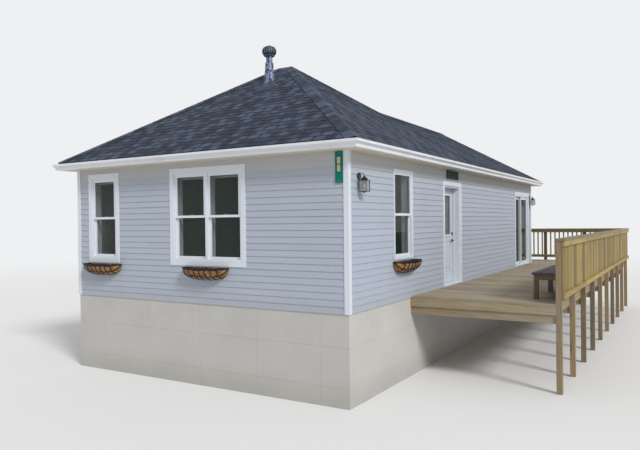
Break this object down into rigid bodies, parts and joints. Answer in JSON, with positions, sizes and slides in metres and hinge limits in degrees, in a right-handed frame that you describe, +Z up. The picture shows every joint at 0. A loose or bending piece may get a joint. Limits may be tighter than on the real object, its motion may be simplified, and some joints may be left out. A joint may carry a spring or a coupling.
{
  "type": "boathouse with a side deck",
  "caption": "Single-storey boathouse: hip-roofed front, gabled rear wing, lap siding, hinged entry door, sliding patio door and a raised timber deck with a railing.",
  "frame": {"origin": "middle of the whole footprint, at the foot of the foundation and the deck posts", "axes": "+X to the right across the front wall, +Y from the front wall to the rear, +Z up"},
  "size_m": [9.112, 14.451, 6.4629],
  "materials": {
    "concrete": "poured concrete, matte",
    "floor_boards": "satin floor boards",
    "inner_wall": "matte painted board",
    "framing_timber": "sawn timber",
    "siding": "embossed light grey-blue lap siding",
    "white_trim": "painted white boards",
    "white_vinyl": "smooth white vinyl",
    "glass": "clear glass",
    "door_paint": "pale blue-grey paint",
    "dark_hardware": "dark bronze",
    "shingles": "granular asphalt shingles",
    "soffit": "beige-white soffit boards",
    "gutter_metal": "baked white paint",
    "galvanized": "dull galvanized sheet",
    "green_plate": "dark green enamel",
    "black_iron": "black painted iron",
    "lantern_glass": "frosted glass",
    "coco_fibre": "rough coconut fibre",
    "deck_timber": "weathered treated timber",
    "post_timber": "weathered treated timber",
    "rail_timber": "golden treated timber",
    "bench_timber": "dark stained timber"
  },
  "bodies": {
    "house": {"foundation": "concrete", "floor_slab": "floor_boards", "front_wall": "inner_wall", "left_wall": "inner_wall", "rear_wall": "inner_wall", "right_wall_front": "inner_wall", "right_wall_middle": "inner_wall", "right_wall_rear": "inner_wall", "door_heads": "inner_wall", "wall_plates": "framing_timber", "ceiling": "inner_wall", "siding": "siding", "corner_boards": "white_trim", "casings": "white_trim", "window_frames": "white_vinyl", "window_sashes": "white_vinyl", "window_glass": "glass", "entry_frame": "white_trim", "patio_frame": "white_vinyl", "patio_fixed_panel": "white_vinyl", "front_roof": "shingles", "rear_roof": "shingles", "fascia": "white_trim", "soffit": "soffit", "gutters": "gutter_metal", "vent_pipe": "galvanized", "sign_plates": "green_plate", "lantern_frames": "black_iron", "lantern_glass": "lantern_glass", "basket_frames": "black_iron", "basket_liners": "coco_fibre", "deck_floor": "deck_timber", "deck_frame": "deck_timber", "deck_posts": "post_timber", "railings": "rail_timber", "rail_caps": "deck_timber", "deck_bench": "bench_timber"},
    "entry_door": {"entry_door": "door_paint", "entry_glass": "glass", "entry_hardware": "dark_hardware"},
    "patio_slider": {"patio_slider": "white_vinyl", "patio_slider_glass": "glass"},
    "turbine": {"vent_turbine": "galvanized"}
  },
  "joints": [
    {"name": "entry_hinge", "type": "hinge", "parent": "house", "child": "entry_door", "pos_m": [1.6947, -2.666, 2.49], "axis": [0, 0, 1], "range_deg": [0, 100]},
    {"name": "patio_slide", "type": "slide", "parent": "house", "child": "patio_slider", "axis": [0, 1, 0], "range_m": [0, 0.718]},
    {"name": "turbine_spin", "type": "hinge", "parent": "house", "child": "turbine", "pos_m": [-1.176, -4.5455, 6.34289], "axis": [0, 0, 1], "continuous": true}
  ]
}
